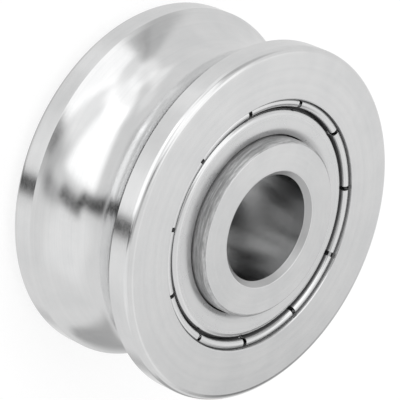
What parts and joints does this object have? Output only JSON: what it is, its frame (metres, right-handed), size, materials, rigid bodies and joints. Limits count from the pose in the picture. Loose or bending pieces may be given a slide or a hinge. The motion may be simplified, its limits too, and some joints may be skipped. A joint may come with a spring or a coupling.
{
  "type": "track roller bearing",
  "caption": "Grooved track roller: a thick outer ring with a round rail groove turns on balls round a bored inner ring, closed by pressed shields.",
  "frame": {"origin": "centre of the bore, half way along it", "axes": "+Z along the bore, out of the front side; the roller stands on its rear end"},
  "size_m": [0.04, 0.04, 0.02],
  "materials": {
    "bearing_steel": "ground and polished bearing steel",
    "shield_steel": "pressed bright steel sheet",
    "ball_steel": "lapped bearing balls",
    "cage_polyamide": "glass-filled polyamide"
  },
  "bodies": {
    "inner_ring": {"inner_ring": "bearing_steel"},
    "outer_ring": {"outer_ring": "bearing_steel", "front_shield": "shield_steel", "rear_shield": "shield_steel"},
    "front_cage": {"front_cage": "cage_polyamide"},
    "front_ball_1": {"front_ball_1": "ball_steel"},
    "front_ball_2": {"front_ball_2": "ball_steel"},
    "front_ball_3": {"front_ball_3": "ball_steel"},
    "front_ball_4": {"front_ball_4": "ball_steel"},
    "front_ball_5": {"front_ball_5": "ball_steel"},
    "front_ball_6": {"front_ball_6": "ball_steel"},
    "front_ball_7": {"front_ball_7": "ball_steel"},
    "front_ball_8": {"front_ball_8": "ball_steel"},
    "rear_cage": {"rear_cage": "cage_polyamide"},
    "rear_ball_1": {"rear_ball_1": "ball_steel"},
    "rear_ball_2": {"rear_ball_2": "ball_steel"},
    "rear_ball_3": {"rear_ball_3": "ball_steel"},
    "rear_ball_4": {"rear_ball_4": "ball_steel"},
    "rear_ball_5": {"rear_ball_5": "ball_steel"},
    "rear_ball_6": {"rear_ball_6": "ball_steel"},
    "rear_ball_7": {"rear_ball_7": "ball_steel"},
    "rear_ball_8": {"rear_ball_8": "ball_steel"}
  },
  "joints": [
    {"name": "outer_spin", "type": "hinge", "parent": "inner_ring", "child": "outer_ring", "pos_m": [0, 0, 0], "axis": [0, 0, 1], "continuous": true},
    {"name": "front_cage_orbit", "type": "hinge", "parent": "inner_ring", "child": "front_cage", "pos_m": [0, 0, 0.0032], "axis": [0, 0, 1], "continuous": true},
    {"name": "front_ball_1_roll", "type": "hinge", "parent": "front_cage", "child": "front_ball_1", "pos_m": [0.0115, 0, 0.0032], "axis": [0.5, 0, 0.866], "continuous": true},
    {"name": "front_ball_2_roll", "type": "hinge", "parent": "front_cage", "child": "front_ball_2", "pos_m": [0.00813, 0.00813, 0.0032], "axis": [0.3536, 0.3536, 0.866], "continuous": true},
    {"name": "front_ball_3_roll", "type": "hinge", "parent": "front_cage", "child": "front_ball_3", "pos_m": [0, 0.0115, 0.0032], "axis": [0, 0.5, 0.866], "continuous": true},
    {"name": "front_ball_4_roll", "type": "hinge", "parent": "front_cage", "child": "front_ball_4", "pos_m": [-0.00813, 0.00813, 0.0032], "axis": [-0.3536, 0.3536, 0.866], "continuous": true},
    {"name": "front_ball_5_roll", "type": "hinge", "parent": "front_cage", "child": "front_ball_5", "pos_m": [-0.0115, 0, 0.0032], "axis": [-0.5, 0, 0.866], "continuous": true},
    {"name": "front_ball_6_roll", "type": "hinge", "parent": "front_cage", "child": "front_ball_6", "pos_m": [-0.00813, -0.00813, 0.0032], "axis": [-0.3536, -0.3536, 0.866], "continuous": true},
    {"name": "front_ball_7_roll", "type": "hinge", "parent": "front_cage", "child": "front_ball_7", "pos_m": [0, -0.0115, 0.0032], "axis": [0, -0.5, 0.866], "continuous": true},
    {"name": "front_ball_8_roll", "type": "hinge", "parent": "front_cage", "child": "front_ball_8", "pos_m": [0.00813, -0.00813, 0.0032], "axis": [0.3536, -0.3536, 0.866], "continuous": true},
    {"name": "rear_cage_orbit", "type": "hinge", "parent": "inner_ring", "child": "rear_cage", "pos_m": [0, 0, -0.0032], "axis": [0, 0, 1], "continuous": true},
    {"name": "rear_ball_1_roll", "type": "hinge", "parent": "rear_cage", "child": "rear_ball_1", "pos_m": [0.01062, 0.0044, -0.0032], "axis": [-0.4619, -0.1913, 0.866], "continuous": true},
    {"name": "rear_ball_2_roll", "type": "hinge", "parent": "rear_cage", "child": "rear_ball_2", "pos_m": [0.0044, 0.01062, -0.0032], "axis": [-0.1913, -0.4619, 0.866], "continuous": true},
    {"name": "rear_ball_3_roll", "type": "hinge", "parent": "rear_cage", "child": "rear_ball_3", "pos_m": [-0.0044, 0.01062, -0.0032], "axis": [0.1913, -0.4619, 0.866], "continuous": true},
    {"name": "rear_ball_4_roll", "type": "hinge", "parent": "rear_cage", "child": "rear_ball_4", "pos_m": [-0.01062, 0.0044, -0.0032], "axis": [0.4619, -0.1913, 0.866], "continuous": true},
    {"name": "rear_ball_5_roll", "type": "hinge", "parent": "rear_cage", "child": "rear_ball_5", "pos_m": [-0.01062, -0.0044, -0.0032], "axis": [0.4619, 0.1913, 0.866], "continuous": true},
    {"name": "rear_ball_6_roll", "type": "hinge", "parent": "rear_cage", "child": "rear_ball_6", "pos_m": [-0.0044, -0.01062, -0.0032], "axis": [0.1913, 0.4619, 0.866], "continuous": true},
    {"name": "rear_ball_7_roll", "type": "hinge", "parent": "rear_cage", "child": "rear_ball_7", "pos_m": [0.0044, -0.01062, -0.0032], "axis": [-0.1913, 0.4619, 0.866], "continuous": true},
    {"name": "rear_ball_8_roll", "type": "hinge", "parent": "rear_cage", "child": "rear_ball_8", "pos_m": [0.01062, -0.0044, -0.0032], "axis": [-0.4619, 0.1913, 0.866], "continuous": true}
  ],
  "couplings": [
    {"joint": "front_cage_orbit", "follows": "outer_spin", "ratio": 0.5896},
    {"joint": "front_ball_1_roll", "follows": "outer_spin", "ratio": 2.3384},
    {"joint": "front_ball_2_roll", "follows": "outer_spin", "ratio": 2.3384},
    {"joint": "front_ball_3_roll", "follows": "outer_spin", "ratio": 2.3384},
    {"joint": "front_ball_4_roll", "follows": "outer_spin", "ratio": 2.3384},
    {"joint": "front_ball_5_roll", "follows": "outer_spin", "ratio": 2.3384},
    {"joint": "front_ball_6_roll", "follows": "outer_spin", "ratio": 2.3384},
    {"joint": "front_ball_7_roll", "follows": "outer_spin", "ratio": 2.3384},
    {"joint": "front_ball_8_roll", "follows": "outer_spin", "ratio": 2.3384},
    {"joint": "rear_cage_orbit", "follows": "outer_spin", "ratio": 0.5896},
    {"joint": "rear_ball_1_roll", "follows": "outer_spin", "ratio": 2.3384},
    {"joint": "rear_ball_2_roll", "follows": "outer_spin", "ratio": 2.3384},
    {"joint": "rear_ball_3_roll", "follows": "outer_spin", "ratio": 2.3384},
    {"joint": "rear_ball_4_roll", "follows": "outer_spin", "ratio": 2.3384},
    {"joint": "rear_ball_5_roll", "follows": "outer_spin", "ratio": 2.3384},
    {"joint": "rear_ball_6_roll", "follows": "outer_spin", "ratio": 2.3384},
    {"joint": "rear_ball_7_roll", "follows": "outer_spin", "ratio": 2.3384},
    {"joint": "rear_ball_8_roll", "follows": "outer_spin", "ratio": 2.3384}
  ]
}
